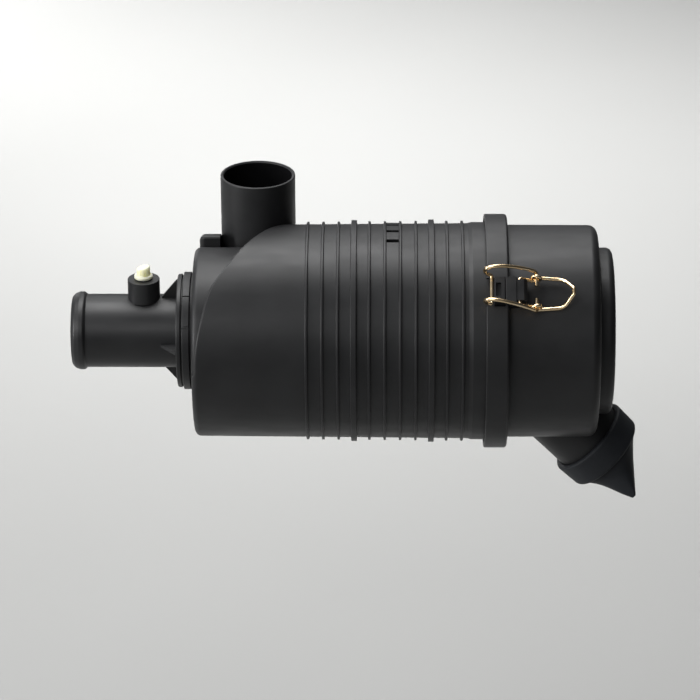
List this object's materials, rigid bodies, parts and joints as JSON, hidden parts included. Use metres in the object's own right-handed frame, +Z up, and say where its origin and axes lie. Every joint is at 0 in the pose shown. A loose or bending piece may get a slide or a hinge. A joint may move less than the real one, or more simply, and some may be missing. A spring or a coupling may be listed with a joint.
{
  "type": "air filter housing",
  "caption": "Cylindrical two-stage air filter housing with tangential inlet, hose outlet, latched service cover, pleated elements and a rubber dust valve on a slanted spout.",
  "frame": {"origin": "on the housing axis, midway between the two tall ribs where a mounting band sits", "axes": "+X along the housing axis toward the service cover, +Z up along the inlet tube, -Y the front, where the upper latch is"},
  "size_m": [0.3913, 0.1618, 0.2146],
  "materials": {
    "housing_plastic": "satin moulded black",
    "outlet_plastic": "satin moulded black",
    "cover_plastic": "satin moulded black",
    "seal_rubber": "matte",
    "valve_rubber": "matte",
    "plug_plastic": "semi-matte",
    "latch_wire": "bright yellow zinc plate on spring steel",
    "filter_paper": "matte pleated paper",
    "urethane": "matte moulded",
    "liner_steel": "bright zinc"
  },
  "bodies": {
    "housing": {"housing_body": "housing_plastic", "outlet_tube": "outlet_plastic", "outlet_o_ring": "seal_rubber", "cover_seal": "seal_rubber"},
    "cover": {"service_cover": "cover_plastic", "cover_baffle": "cover_plastic"},
    "valve": {"dust_valve": "valve_rubber"},
    "plug": {"port_plug": "plug_plastic", "port_plug_seal": "seal_rubber"},
    "handle_upper": {"latch_handle_upper": "latch_wire"},
    "link_upper": {"latch_link_upper": "latch_wire"},
    "handle_lower": {"latch_handle_lower": "latch_wire"},
    "link_lower": {"latch_link_lower": "latch_wire"},
    "primary_element": {"primary_seal_cap": "urethane", "primary_end_cap": "urethane", "primary_media": "filter_paper", "primary_inner_liner": "liner_steel", "primary_outer_liner": "liner_steel"},
    "safety_element": {"safety_seal_cap": "urethane", "safety_end_cap": "urethane", "safety_media": "filter_paper", "safety_liner": "liner_steel"}
  },
  "joints": [
    {"name": "cover_pull", "type": "slide", "parent": "housing", "child": "cover", "axis": [1, 0, 0], "range_m": [0, 0.54]},
    {"name": "primary_pull", "type": "slide", "parent": "housing", "child": "primary_element", "axis": [1, 0, 0], "range_m": [0, 0.4536]},
    {"name": "safety_pull", "type": "slide", "parent": "housing", "child": "safety_element", "axis": [1, 0, 0], "range_m": [0, 0.216]},
    {"name": "plug_pull", "type": "slide", "parent": "housing", "child": "plug", "axis": [0, 0, 1], "range_m": [0, 0.02]},
    {"name": "valve_pull", "type": "slide", "parent": "cover", "child": "valve", "axis": [0.7071, 0, -0.7071], "range_m": [0, 0.03]},
    {"name": "handle_upper_turn", "type": "hinge", "parent": "cover", "child": "handle_upper", "pos_m": [0.085, -0.05977, 0.05672], "axis": [0, -0.6884, -0.7254], "range_deg": [0, 130]},
    {"name": "link_upper_turn", "type": "hinge", "parent": "handle_upper", "child": "link_upper", "pos_m": [0.0966, -0.05788, 0.05493], "axis": [0, -0.6884, -0.7254], "range_deg": [-130, 0]},
    {"name": "handle_lower_turn", "type": "hinge", "parent": "cover", "child": "handle_lower", "pos_m": [0.085, 0.05977, -0.05672], "axis": [0, 0.6884, 0.7254], "range_deg": [0, 130]},
    {"name": "link_lower_turn", "type": "hinge", "parent": "handle_lower", "child": "link_lower", "pos_m": [0.0966, 0.05788, -0.05493], "axis": [0, 0.6884, 0.7254], "range_deg": [-130, 0]}
  ],
  "couplings": [
    {"joint": "primary_pull", "follows": "cover_pull", "ratio": 0.84},
    {"joint": "safety_pull", "follows": "cover_pull", "ratio": 0.4},
    {"joint": "link_upper_turn", "follows": "handle_upper_turn", "ratio": -1},
    {"joint": "link_lower_turn", "follows": "handle_lower_turn", "ratio": -1}
  ]
}
